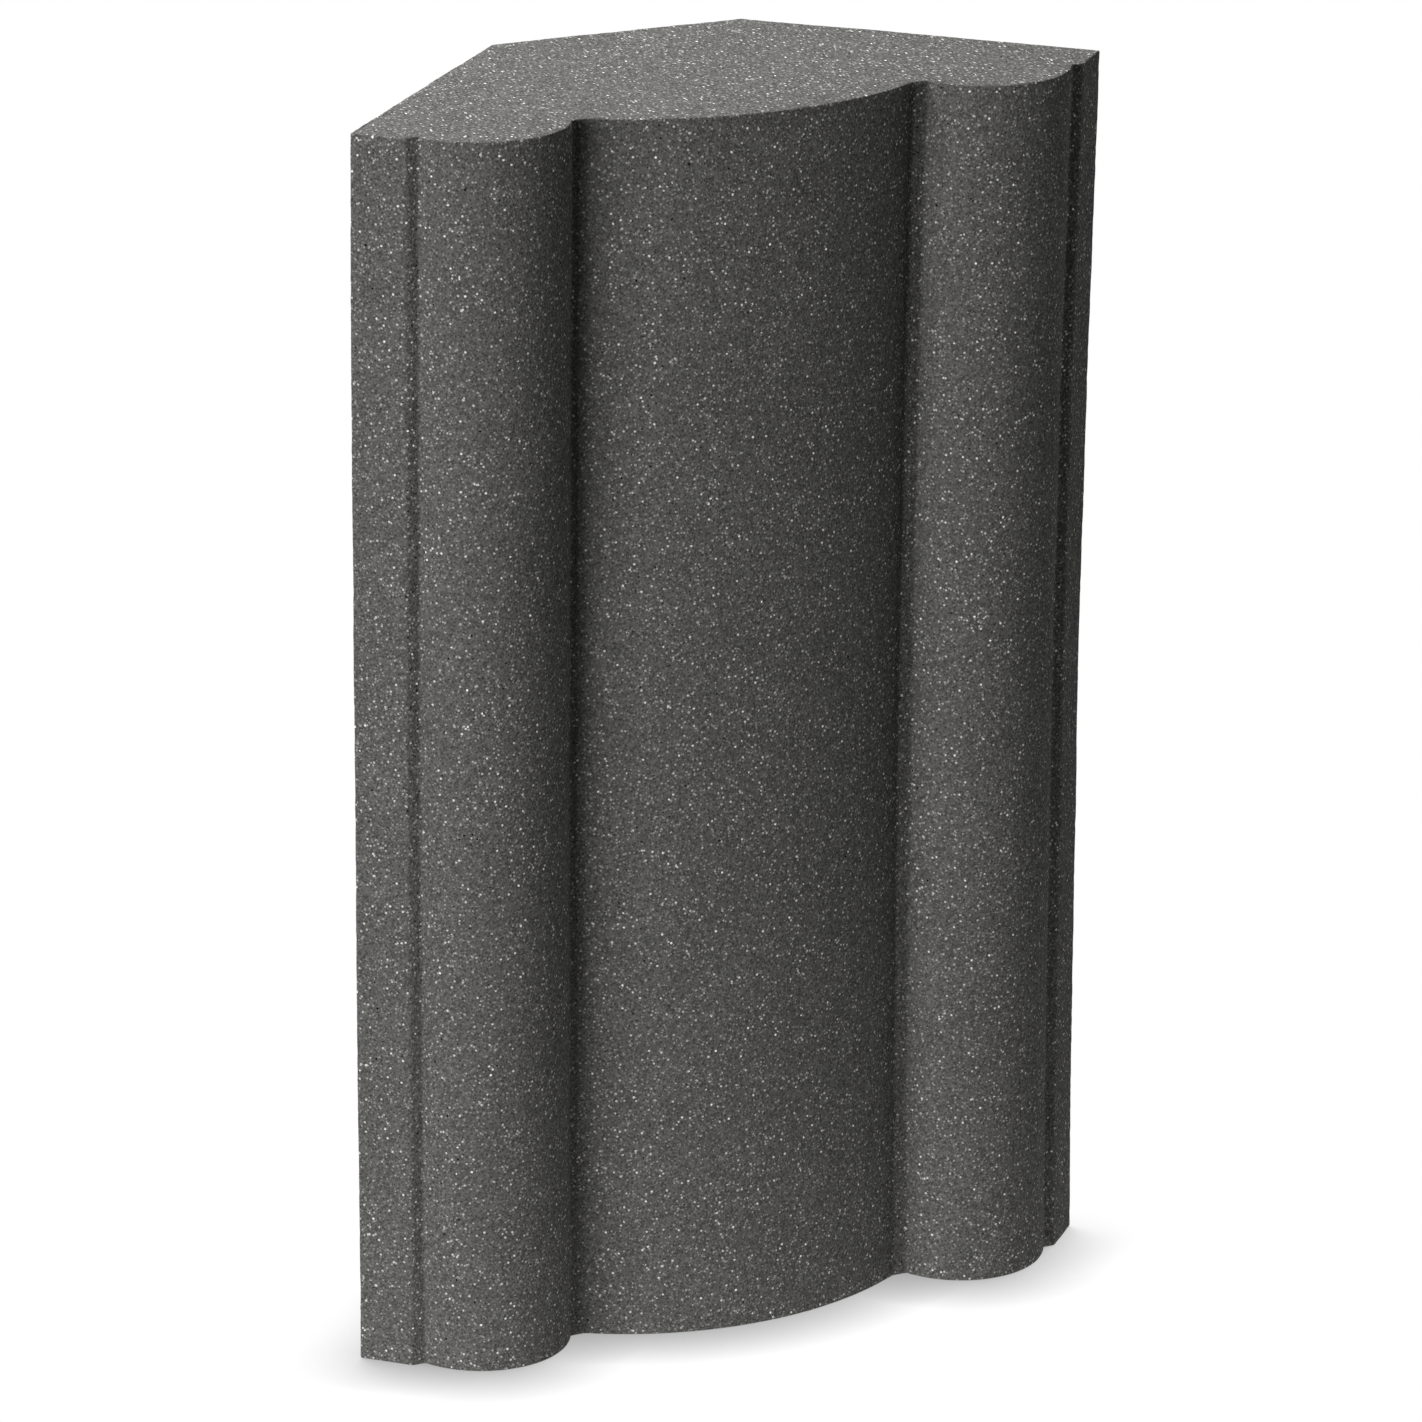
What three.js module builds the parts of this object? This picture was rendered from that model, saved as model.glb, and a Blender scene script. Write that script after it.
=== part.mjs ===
import * as THREE from 'three';

// Corner bass trap: one upright block of open-cell foam that stands in the corner between two walls.
// Millimetres, +Z up. The front, with its three upright rounds, faces -Y, and the point where the
// two walls meet lies towards +Y. The origin is the middle of the base of the block's bounding box.

// Driving dimensions
const height = 600;
const largeRoundWidth = 166;
const smallRoundWidth = 76;
const roundDepth = 23.5; // how far a round stands out of the groove floors
const grooveWidth = 7.5; // flat floor between the large round and a small one
const landWidth = 6.5; // flat floor between a small round and the lip
const lipLength = 27; // cut edge strip, square to the wall face
const cornerFaceWidth = 131; // flat back that stays clear of the walls' own corner
const wallAngle = Math.PI / 4; // between each wall face and the front
const roundSegments = 16; // a round is drawn with twice as many straight steps

// Half widths, from the middle plane outwards
const floorHalfWidth = largeRoundWidth / 2 + grooveWidth + smallRoundWidth + landWidth;
const halfWidth = floorHalfWidth + lipLength * Math.sin(wallAngle);
const cornerHalfWidth = cornerFaceWidth / 2;

// Places from front to back
const lipDepth = lipLength * Math.cos(wallAngle);
const wallDepth = (halfWidth - cornerHalfWidth) * Math.tan(wallAngle);
const backY = (roundDepth + lipDepth + wallDepth) / 2;
const outerCornerY = backY - wallDepth;
const floorY = outerCornerY - lipDepth;

const foam = new THREE.MeshStandardMaterial({ name: 'foam', color: 0x5d5c5b, roughness: 1, metalness: 0 });

// One round: an arc that bulges forward from the groove floors, between startX and startX + width.
function addRound(outline, startX, width) {
  const radius = (width * width / 4 + roundDepth * roundDepth) / (2 * roundDepth);
  const halfAngle = Math.atan2(width / 2, radius - roundDepth);
  const crest = -Math.PI / 2;
  const centreY = floorY + radius - roundDepth;
  outline.absarc(startX + width / 2, centreY, radius, crest - halfAngle, crest + halfAngle, false);
}

// The plan of the block: back face, left wall face, left lip, the three rounds with the groove
// floors between them, right lip and right wall face.
function plan() {
  const outline = new THREE.Shape();
  outline.moveTo(-cornerHalfWidth, backY);
  outline.lineTo(-halfWidth, outerCornerY);
  outline.lineTo(-floorHalfWidth, floorY);
  addRound(outline, -floorHalfWidth + landWidth, smallRoundWidth);
  addRound(outline, -largeRoundWidth / 2, largeRoundWidth);
  addRound(outline, largeRoundWidth / 2 + grooveWidth, smallRoundWidth);
  outline.lineTo(floorHalfWidth, floorY);
  outline.lineTo(halfWidth, outerCornerY);
  outline.lineTo(cornerHalfWidth, backY);
  outline.closePath();
  return outline;
}

function foamBlock() {
  const cut = { depth: height, steps: 1, curveSegments: roundSegments, bevelEnabled: false };
  const block = new THREE.Mesh(new THREE.ExtrudeGeometry(plan(), cut), foam);
  block.name = 'foam_block';
  return block;
}

const cornerBassTrap = new THREE.Group();
cornerBassTrap.add(foamBlock());

export default cornerBassTrap;
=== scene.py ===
import math

import bpy
import numpy as np
from mathutils import Matrix, Vector, noise

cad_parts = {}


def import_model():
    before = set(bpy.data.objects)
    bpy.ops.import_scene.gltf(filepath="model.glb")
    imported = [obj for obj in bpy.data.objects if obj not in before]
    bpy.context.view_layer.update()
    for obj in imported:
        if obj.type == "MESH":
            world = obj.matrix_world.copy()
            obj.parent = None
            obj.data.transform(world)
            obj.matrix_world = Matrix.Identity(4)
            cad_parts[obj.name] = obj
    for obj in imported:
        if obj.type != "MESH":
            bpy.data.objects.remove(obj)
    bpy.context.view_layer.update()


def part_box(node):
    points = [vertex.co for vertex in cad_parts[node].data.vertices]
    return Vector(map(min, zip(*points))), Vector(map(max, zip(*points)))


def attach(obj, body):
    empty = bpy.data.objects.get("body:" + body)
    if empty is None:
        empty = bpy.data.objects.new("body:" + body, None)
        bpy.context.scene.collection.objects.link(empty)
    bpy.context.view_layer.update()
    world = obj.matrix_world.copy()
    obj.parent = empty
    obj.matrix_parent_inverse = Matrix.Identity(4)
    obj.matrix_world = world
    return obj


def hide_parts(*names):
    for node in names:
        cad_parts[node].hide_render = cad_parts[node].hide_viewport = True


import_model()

# Corner bass trap: one upright block of charcoal open-cell foam. Metres, +Z up, front towards -Y.

NODE = "foam_block"
BLOCK_LOW, BLOCK_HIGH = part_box(NODE)

# Plan of the block. The overall width, depth and height come from the frame.
LARGE_ROUND_WIDTH = 0.166
SMALL_ROUND_WIDTH = 0.076
ROUND_DEPTH = 0.0235  # how far a round stands out of the groove floors
GROOVE_WIDTH = 0.0075
LIP_LENGTH = 0.027
CORNER_FACE_WIDTH = 0.131
WALL_ANGLE = math.radians(45)

HALF_WIDTH = BLOCK_HIGH.x
HEIGHT = BLOCK_HIGH.z - BLOCK_LOW.z
BACK_Y = BLOCK_HIGH.y
GROOVE_Y = BLOCK_LOW.y + ROUND_DEPTH
OUTER_CORNER_Y = GROOVE_Y + LIP_LENGTH * math.cos(WALL_ANGLE)
LIP_X = HALF_WIDTH - LIP_LENGTH * math.sin(WALL_ANGLE)  # where a lip meets the groove floor

# Mesh density
FINE_STEP = 0.00025
COLUMNS = 190  # steps from the left outer corner to the right one, along the front and along the back
RINGS = 170
CAP_ROWS = 50
CORNER_DENSITY = 3.0
CORNER_CURVATURE = 100.0  # per metre: an outline that turns faster than this counts as a corner

# Soft edges and the unevenness of cut foam
EDGE_SOFTNESS = 0.0007
RIM_RADIUS = 0.0008
RIM_STEPS = 3
BEND = 0.0017  # how far the middle of the block leans to the left
WAIST = 0.0012  # how far the middle of each side is drawn in
WAVES = ((0.11, 0.0005), (0.035, 0.00022), (0.009, 0.00009))  # length and height of each
WAVE_SHIFT = Vector((3.1, 7.7, 1.9))  # each kind of wave is taken this much further on in the noise
NICK = 0.00025
NICK_SEED = 7

# The flat layout of the surface, for textures made from the material
SHEET_GAP = 0.006


def straight(start, end):
    """Points every fine step from start up to, but not including, end."""
    start, end = np.array(start), np.array(end)
    count = max(1, round(np.linalg.norm(end - start) / FINE_STEP))
    share = np.arange(count)[:, None] / count
    return start + (end - start) * share


def round_front(start_x, width):
    """Points along one round, from its left foot up to, but not including, its right foot."""
    radius = (width * width / 4 + ROUND_DEPTH * ROUND_DEPTH) / (2 * ROUND_DEPTH)
    half_angle = math.atan2(width / 2, radius - ROUND_DEPTH)
    count = round(2 * half_angle * radius / FINE_STEP)
    angle = -half_angle + 2 * half_angle * np.arange(count) / count
    centre = np.array([start_x + width / 2, GROOVE_Y + radius - ROUND_DEPTH])
    return centre + radius * np.stack([np.sin(angle), -np.cos(angle)], 1)


def sharp_outline():
    """The plan as two lines of points from the left outer corner to the right one: front and back."""
    left, right = (-HALF_WIDTH, OUTER_CORNER_Y), (HALF_WIDTH, OUTER_CORNER_Y)
    small_end = -LARGE_ROUND_WIDTH / 2 - GROOVE_WIDTH
    small_start = small_end - SMALL_ROUND_WIDTH
    large_end = LARGE_ROUND_WIDTH / 2
    front = np.concatenate([
        straight(left, (-LIP_X, GROOVE_Y)),
        straight((-LIP_X, GROOVE_Y), (small_start, GROOVE_Y)),
        round_front(small_start, SMALL_ROUND_WIDTH),
        straight((small_end, GROOVE_Y), (-large_end, GROOVE_Y)),
        round_front(-large_end, LARGE_ROUND_WIDTH),
        straight((large_end, GROOVE_Y), (-small_end, GROOVE_Y)),
        round_front(-small_end, SMALL_ROUND_WIDTH),
        straight((-small_start, GROOVE_Y), (LIP_X, GROOVE_Y)),
        straight((LIP_X, GROOVE_Y), right),
    ])
    corner = CORNER_FACE_WIDTH / 2
    back = np.concatenate([
        straight(left, (-corner, BACK_Y)),
        straight((-corner, BACK_Y), (corner, BACK_Y)),
        straight((corner, BACK_Y), right),
    ])
    return front, np.concatenate([back, [right]])


def softened(front, back):
    """The closed outline with its corners rounded off, split again at the outer corners.

    Each row holds a point, the direction outwards there and how fast the outline turns.
    """
    loop = np.concatenate([front, back[:0:-1]])
    complex_loop = loop[:, 0] + 1j * loop[:, 1]
    waves = 2 * math.pi * np.fft.fftfreq(len(loop), FINE_STEP)
    soft = np.fft.ifft(np.fft.fft(complex_loop) * np.exp(-0.5 * (EDGE_SOFTNESS * waves) ** 2))
    ahead, behind = np.roll(soft, -1), np.roll(soft, 1)
    along = (ahead - behind) / np.abs(ahead - behind)
    turn = np.abs(np.angle(np.roll(along, -1) / np.roll(along, 1))) / (2 * FINE_STEP)
    table = np.stack([soft.real, soft.imag, along.imag, -along.real, turn], 1)
    split = len(front)
    front_table = table[:split + 1]
    back_table = np.concatenate([table[split:], table[:1]])[::-1]
    return front_table, back_table


def stations(table):
    """Picks the mesh's points along one half of the outline, closer together where it turns."""
    weight = 1 + CORNER_DENSITY * (1 - np.exp(-table[:, 4] / CORNER_CURVATURE))
    length = np.concatenate([[0], np.cumsum((weight[1:] + weight[:-1]) / 2)])
    wanted = np.linspace(0, length[-1], COLUMNS + 1)
    return np.stack([np.interp(wanted, length, column) for column in table.T], 1)


def ring_levels():
    """Height of each ring, from base to top, and how far it is set in from the outline."""
    angle = np.linspace(0, math.pi / 2, RIM_STEPS + 1)
    rim_height = RIM_RADIUS * (1 - np.cos(angle))
    rim_inset = RIM_RADIUS * (1 - np.sin(angle))
    middle = np.linspace(RIM_RADIUS, HEIGHT - RIM_RADIUS, RINGS)[1:-1]
    heights = np.concatenate([rim_height, middle, HEIGHT - rim_height[::-1]])
    insets = np.concatenate([rim_inset, np.zeros(len(middle)), rim_inset[::-1]])
    return heights, insets


def block_mesh():
    """The closed mesh of the block, its flat layout and which of its points lie on an edge.

    The sides are rings with rounded rims, and each end is a grid from the front outline to the back one.
    """
    front, back = (stations(table) for table in softened(*sharp_outline()))
    loop = np.concatenate([front, back[-2:0:-1]])
    around = len(loop)
    heights, insets = ring_levels()
    rings = [np.column_stack([loop[:, :2] - inset * loop[:, 2:4], np.full(around, height)])
             for height, inset in zip(heights, insets)]
    points = list(np.concatenate(rings))
    at_corner = np.tile(loop[:, 4] > CORNER_CURVATURE, len(rings))
    at_rim = np.repeat((insets > 0) | (heights > HEIGHT - 2 * RIM_RADIUS), around)
    worn = list(at_corner | at_rim)

    steps = np.diff(np.concatenate([loop, loop[:1]])[:, :2], axis=0)
    run = np.concatenate([[0], np.cumsum(np.hypot(*steps.T))])
    climb = np.concatenate([[0], np.cumsum(np.hypot(np.diff(heights), np.diff(insets)))])
    faces, layout = [], []
    for k in range(len(rings) - 1):
        low, high = k * around, (k + 1) * around
        below, above = climb[k], climb[k + 1]
        for i in range(around):
            j = (i + 1) % around
            faces.append((low + i, low + j, high + j, high + i))
            layout += [(run[i], below), (run[i + 1], below), (run[i + 1], above), (run[i], above)]

    for ring, facing in ((0, -1), (len(rings) - 1, 1)):
        first = ring * around
        grid = np.empty((COLUMNS + 1, CAP_ROWS + 1), int)
        for i in range(COLUMNS + 1):
            grid[i] = first + i
            if i in (0, COLUMNS):
                continue
            grid[i, CAP_ROWS] = first + around - i
            start, end = points[grid[i, 0]], points[grid[i, CAP_ROWS]]
            for j in range(1, CAP_ROWS):
                grid[i, j] = len(points)
                points.append(start + (end - start) * j / CAP_ROWS)
                worn.append(False)
        middle_x = HALF_WIDTH * (2 + facing) + SHEET_GAP * (1 + facing) / 2
        middle = np.array([middle_x, climb[-1] + SHEET_GAP + BACK_Y])
        for i in range(COLUMNS):
            for j in range(CAP_ROWS):
                face = [grid[i, j], grid[i + 1, j], grid[i + 1, j + 1], grid[i, j + 1]]
                # All rows meet in one point at each outer corner, so that a face there has three points
                face = list(dict.fromkeys(int(v) for v in face[::facing]))
                if len(face) > 2:
                    faces.append(face)
                    layout += [tuple(middle + points[v][:2] * (facing, 1)) for v in face]
    return np.array(points), faces, np.array(layout), np.array(worn)


def uneven(mesh, worn):
    """Gives the smooth block the bend, waist, waves and nicked edges of cut foam."""
    count = len(mesh.vertices)
    points = np.empty(count * 3)
    mesh.vertices.foreach_get("co", points)
    points = points.reshape(-1, 3)
    normals = np.empty(count * 3)
    mesh.vertex_normals.foreach_get("vector", normals)
    normals = normals.reshape(-1, 3)
    rng = np.random.default_rng(NICK_SEED)

    lift = np.zeros(count)
    for number, (length, size) in enumerate(WAVES):
        shift = WAVE_SHIFT * (number + 1)
        lift += size * np.array([noise.noise(Vector(p) / length + shift) for p in points])
    lift -= np.where(worn, NICK * rng.random(count) ** 2, 0)
    moved = points + normals * lift[:, None]

    rise = points[:, 2] / HEIGHT
    belly = 4 * rise * (1 - rise)
    moved[:, 0] -= belly * (BEND + WAIST * points[:, 0] / HALF_WIDTH)
    underside = points[:, 2] < RIM_RADIUS / 4
    moved[:, 2] = np.where(underside, points[:, 2], np.maximum(moved[:, 2], 0))
    mesh.vertices.foreach_set("co", moved.ravel())
    mesh.update()


def foam_block():
    """The block as one object, with its flat layout as its map for textures."""
    points, faces, layout, worn = block_mesh()
    mesh = bpy.data.meshes.new("foam")
    mesh.from_pydata(points.tolist(), [], faces)
    mesh.uv_layers.new(name="OFBake").data.foreach_set("uv", (layout / layout.max()).ravel())
    mesh.shade_smooth()
    uneven(mesh, worn)
    piece = bpy.data.objects.new("foam", mesh)
    bpy.context.scene.collection.objects.link(piece)
    return piece


# Material helpers

WHITE = (1.0, 1.0, 1.0, 1.0)
# Places of a mix node's sockets for two vectors and for its result
MIX_FIRST, MIX_SECOND, MIX_RESULT = 4, 5, 1


def new_material(name):
    """An empty material and its node tree."""
    material = bpy.data.materials.new(name)
    material.use_nodes = True
    material.node_tree.nodes.clear()
    return material, material.node_tree


def connect(tree, value, socket):
    """Gives a socket its value, which is another node's output or a constant."""
    if isinstance(value, bpy.types.NodeSocket):
        tree.links.new(value, socket)
    else:
        socket.default_value = value


def add(tree, kind, **settings):
    """A node of that kind. A setting names a property, or an input with its spaces as underscores."""
    node = tree.nodes.new(kind)
    for name, value in settings.items():
        if hasattr(node, name):
            setattr(node, name, value)
        else:
            connect(tree, value, node.inputs[name.replace("_", " ")])
    return node


def spread(tree, value, low, high, to_low, to_high, smooth=False):
    """The value moved from the range low to high into the range to_low to to_high, and kept in it."""
    node = add(tree, "ShaderNodeMapRange", interpolation_type="SMOOTHSTEP" if smooth else "LINEAR",
               Value=value, From_Min=low, From_Max=high, To_Min=to_low, To_Max=to_high)
    return node.outputs["Result"]


def maths(tree, operation, *values):
    """The result of a sum on numbers."""
    node = add(tree, "ShaderNodeMath", operation=operation)
    for value, socket in zip(values, node.inputs):
        connect(tree, value, socket)
    return node.outputs["Value"]


def vectors(tree, operation, *values, factor=None, result="Vector"):
    """The result of a sum on vectors, and on a factor where it has one."""
    node = add(tree, "ShaderNodeVectorMath", operation=operation)
    for value, socket in zip(values, node.inputs):
        connect(tree, value, socket)
    if factor is not None:
        connect(tree, factor, node.inputs["Scale"])
    return node.outputs[result]


def cells(tree, place, per_metre):
    """One layer of foam cells: distance from each one's middle, its three random numbers and its colour."""
    node = add(tree, "ShaderNodeTexVoronoi", voronoi_dimensions="3D", feature="F1",
               Vector=place, Scale=per_metre, Randomness=1.0)
    parts = add(tree, "ShaderNodeSeparateColor", Color=node.outputs["Color"])
    return node.outputs["Distance"], parts.outputs, node.outputs["Color"]


# Foam. A size in cells is measured from the middle of a cell.

FOAM_TONE = 0.1
FOAM_TINT = (1.0, 0.985, 0.955)
TONE_RANGE = 0.26  # how much paler or darker one cell can be, as a share of its tone
# the palest any cell or speck may be, the painted glints included
PALEST_TONE = 0.9
CELLS_PER_METRE = 830
STRUT_RANGE = (0.15, 0.65)  # in cells: where the pore ends, and where its strut is whole
PORE_PAINTED_SHADE = 0.58  # of the struts' tone: painted shade in the hollows of the cells
PORE_DEPTH = 0.0004
PORE_RELIEF = 0.4
END_CELL_SCALE = (1.2, 0.6, 1.0)  # cells look drawn out from front to back on the two cut ends
END_SLOPE = 0.7  # a surface is a cut end where the upright part of its normal is more than this
CELL_TURN = (0.52, 0.83, 1.13)  # radians: the cells lie askew, so that no face cuts them in rows
CLOUDS_PER_METRE = 38.0
CLOUD_RANGE = (0.3, 0.7)  # of the noise, for the darkest and the palest cloud
CLOUD_TONES = (0.95, 1.05)
SPECKS_PER_METRE = 730
SPECK_CORE = 0.35  # the share of a speck's size that has its full tone
SPECK_TILT = 2.0
TILT_RANGE = (0.45, 0.35)  # in cells: where a speck's tilt begins, and where it is whole
EVEN_RANDOM = (0.5, 0.5, 0.5)  # the mean of three random numbers
# Size in cells, tone as a share of the foam's, and rarity of the faint specks, which are the pale
# membranes' own tone, and of the bright ones, which are painted glints where lamps would be reflected in
# the membranes
FAINT_SPECKS = (0.47, 2.15, 1.6)
PAINTED_GLINT_SPECKS = (0.60, 6.2, 13.0)


def foam_material():
    """Open-cell foam: pores painted darker than the struts as shade in the cell hollows, and small pale
    facets that are tilted every way, the brightest of them painted glints.
    """
    material, tree = new_material("charcoal_foam")
    surface = add(tree, "ShaderNodeTexCoord").outputs
    upright = add(tree, "ShaderNodeSeparateXYZ", Vector=surface["Normal"]).outputs["Z"]
    at_end = maths(tree, "GREATER_THAN", maths(tree, "ABSOLUTE", upright), END_SLOPE)
    stretch = add(tree, "ShaderNodeMix", data_type="VECTOR")
    connect(tree, at_end, stretch.inputs["Factor"])
    connect(tree, (1.0, 1.0, 1.0), stretch.inputs[MIX_FIRST])
    connect(tree, END_CELL_SCALE, stretch.inputs[MIX_SECOND])
    drawn_out = vectors(tree, "MULTIPLY", surface["Object"], stretch.outputs[MIX_RESULT])
    turned = add(tree, "ShaderNodeVectorRotate", rotation_type="EULER_XYZ",
                 Vector=drawn_out, Rotation=CELL_TURN)
    place = turned.outputs["Vector"]

    distance, chance, _ = cells(tree, place, CELLS_PER_METRE)
    strut = spread(tree, distance, *STRUT_RANGE, 0.0, 1.0, smooth=True)
    # painted shade: the pores get a darker tone than the struts, as the hollows of the cells lie in shade;
    # the bump gives them depth
    tone = spread(tree, strut, 0.0, 1.0, FOAM_TONE * PORE_PAINTED_SHADE, FOAM_TONE)
    by_cell = spread(tree, chance["Red"], 0.0, 1.0, 1.0 - TONE_RANGE, 1.0 + TONE_RANGE)
    tone = maths(tree, "MULTIPLY", tone, by_cell)
    cloud = add(tree, "ShaderNodeTexNoise", Vector=place, Scale=CLOUDS_PER_METRE, Detail=4.0, Roughness=0.6)
    tone = maths(tree, "MULTIPLY", tone, spread(tree, cloud.outputs["Fac"], *CLOUD_RANGE, *CLOUD_TONES))

    speck_distance, speck_chance, speck_colour = cells(tree, place, SPECKS_PER_METRE)
    pale_speck_and_glint = 0.0
    # The bright specks are painted glints: colour far paler than the foam stands in for lamps reflected in
    # cell membranes.
    for number, (size, share, rarity) in enumerate((FAINT_SPECKS, PAINTED_GLINT_SPECKS)):
        spot = spread(tree, speck_distance, size, size * SPECK_CORE, 0.0, FOAM_TONE * share, smooth=True)
        rare = maths(tree, "POWER", speck_chance[number], rarity)
        pale_speck_and_glint = maths(tree, "MAXIMUM", rare, pale_speck_and_glint)
        tone = maths(tree, "ADD", tone, maths(tree, "MULTIPLY", spot, rare))
    tone = maths(tree, "MINIMUM", tone, PALEST_TONE)
    colour = vectors(tree, "SCALE", FOAM_TINT, factor=tone)

    hollow = add(tree, "ShaderNodeBump", Strength=PORE_RELIEF, Distance=PORE_DEPTH, Height=strut)
    any_way = add(tree, "ShaderNodeTexWhiteNoise", noise_dimensions="3D", Vector=speck_colour)
    lean = vectors(tree, "SUBTRACT", any_way.outputs["Color"], EVEN_RANDOM)
    tilt = spread(tree, speck_distance, *TILT_RANGE, 0.0, SPECK_TILT, smooth=True)
    lean = vectors(tree, "SCALE", lean, factor=maths(tree, "MULTIPLY", tilt, pale_speck_and_glint))
    normal = vectors(tree, "NORMALIZE", vectors(tree, "ADD", hollow.outputs["Normal"], lean))

    shader = add(tree, "ShaderNodeBsdfPrincipled", Roughness=1.0, Base_Color=colour,
                 Specular_IOR_Level=0.0, Normal=normal)
    add(tree, "ShaderNodeOutputMaterial", Surface=shader.outputs["BSDF"])
    return material


# Studio

FLOOR_SIDE = 14.0
FLOOR_GLOW = 0.65  # painted bounce light: near the object the floor glows this much, though it is no lamp and no shadow dims it
GLOW_CENTRE = (0.0, -0.15, 0.0)
GLOW_REACH = (0.1, 0.6)  # the glow is whole up to here from its centre, and gone from here on
SHADE_REACH = 0.036  # how far the painted shade at the foot of the object reaches
SHADE_STRENGTH = 0.73
SHADE_SAMPLES = 16
SHADE_SIDE = (0.31, 0.635, 0.707)  # where the floor looks for the object, so that the painted shade lies in front of it
WORLD_LIGHT = 0.01
LIT_HEIGHT = 0.3  # the softboxes face this height over the origin
# Name, place, width, height and watts of each softbox
SOFTBOXES = (
    ("key", (-2.23, -1.13, 0.6), 1.6, 1.1, 74.0),
    ("top", (-0.8, 1.0, 2.8), 1.0, 1.0, 146.0),
    ("fill", (2.08, -0.72, 0.7), 1.6, 1.2, 16.0),
    ("back", (0.3, 2.3, 1.0), 1.2, 1.2, 32.0),
)


def seen_directly(tree):
    """1 for the rays that show the background: camera, glossy and transmission rays."""
    path = add(tree, "ShaderNodeLightPath").outputs
    glossy = maths(tree, "MAXIMUM", path["Is Camera Ray"], path["Is Glossy Ray"])
    return maths(tree, "MAXIMUM", glossy, path["Is Transmission Ray"])


def floor_material():
    """White where it is seen, with a painted soft shade at the object's foot, made from how near the object
    is and not from the lamps. To other rays it is a painted bounce light: a glow near the object that
    lights it a little.
    """
    material, tree = new_material("floor")
    place = add(tree, "ShaderNodeTexCoord").outputs["Object"]
    away = vectors(tree, "DISTANCE", place, GLOW_CENTRE, result="Value")
    # painted bounce light: a glow around the object's foot, the same whatever the lamps do
    near = spread(tree, away, *GLOW_REACH, FLOOR_GLOW, 0.0, smooth=True)
    glow = add(tree, "ShaderNodeEmission", Color=WHITE, Strength=near)
    side = add(tree, "ShaderNodeCombineXYZ", X=SHADE_SIDE[0], Y=SHADE_SIDE[1], Z=SHADE_SIDE[2])
    # painted shade: the floor's seen whiteness is darkened where the object stands near, not where the
    # lamps are blocked
    shade = add(tree, "ShaderNodeAmbientOcclusion", samples=SHADE_SAMPLES,
                Distance=SHADE_REACH, Normal=side.outputs["Vector"])
    white = spread(tree, shade.outputs["AO"], 0.0, 1.0, 1.0 - SHADE_STRENGTH, 1.0)
    shown = add(tree, "ShaderNodeEmission", Color=WHITE, Strength=white)
    pick = add(tree, "ShaderNodeMixShader", Fac=seen_directly(tree))
    connect(tree, glow.outputs["Emission"], pick.inputs[1])
    connect(tree, shown.outputs["Emission"], pick.inputs[2])
    add(tree, "ShaderNodeOutputMaterial", Surface=pick.outputs["Shader"])
    return material


def floor():
    """The plane that the object stands on."""
    mesh = bpy.data.meshes.new("floor")
    half = FLOOR_SIDE / 2
    corners = [(-half, -half, 0), (half, -half, 0), (half, half, 0), (-half, half, 0)]
    mesh.from_pydata(corners, [], [(0, 1, 2, 3)])
    mesh.materials.append(floor_material())
    plane = bpy.data.objects.new("floor", mesh)
    bpy.context.scene.collection.objects.link(plane)


def world():
    """Surroundings that look white and light the object only a little."""
    studio = bpy.data.worlds.new("studio")
    studio.use_nodes = True
    tree = studio.node_tree
    tree.nodes.clear()
    light = add(tree, "ShaderNodeBackground", Color=WHITE, Strength=WORLD_LIGHT)
    white = add(tree, "ShaderNodeBackground", Color=WHITE, Strength=1.0)
    pick = add(tree, "ShaderNodeMixShader", Fac=seen_directly(tree))
    connect(tree, light.outputs["Background"], pick.inputs[1])
    connect(tree, white.outputs["Background"], pick.inputs[2])
    add(tree, "ShaderNodeOutputWorld", Surface=pick.outputs["Shader"])
    bpy.context.scene.world = studio


def softbox(name, place, width, height, watts):
    """A flat lamp that faces the object."""
    lamp = bpy.data.lights.new(name, "AREA")
    lamp.shape = "RECTANGLE"
    lamp.size = width
    lamp.size_y = height
    lamp.energy = watts
    light = bpy.data.objects.new(name, lamp)
    light.location = place
    light.visible_camera = False
    towards_lamp = Vector(place) - Vector((0, 0, LIT_HEIGHT))
    light.rotation_euler = towards_lamp.to_track_quat("Z", "Y").to_euler()
    bpy.context.scene.collection.objects.link(light)


# Camera, found by fitting the block's corners to the photograph

CAMERA_PLACE = (-1.4277, -2.9543, 1.4136)
CAMERA_YAW = math.radians(25.97)
CAMERA_PITCH = math.radians(18.98)
CAMERA_ROLL = math.radians(-0.48)
CAMERA_LENS = 183.4  # millimetres, as is the sensor
CAMERA_SENSOR = 36


def camera():
    """The camera at its place, turned by its three angles."""
    data = bpy.data.cameras.new("camera")
    data.sensor_width = CAMERA_SENSOR
    data.lens = CAMERA_LENS
    level = math.cos(CAMERA_PITCH)
    forward = Vector((math.sin(CAMERA_YAW) * level, math.cos(CAMERA_YAW) * level, -math.sin(CAMERA_PITCH)))
    right = Vector((math.cos(CAMERA_YAW), -math.sin(CAMERA_YAW), 0))
    right = Matrix.Rotation(CAMERA_ROLL, 3, forward) @ right
    up = right.cross(forward)
    turned = Matrix((right, up, -forward)).transposed().to_4x4()
    eye = bpy.data.objects.new("camera", data)
    eye.matrix_world = Matrix.Translation(CAMERA_PLACE) @ turned
    bpy.context.scene.collection.objects.link(eye)
    bpy.context.scene.camera = eye


camera()
world()
floor()
for box in SOFTBOXES:
    softbox(*box)

foam = foam_block()
foam.data.materials.append(foam_material())
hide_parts(NODE)
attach(foam, "root")

bpy.context.scene.view_settings.view_transform = "Standard"
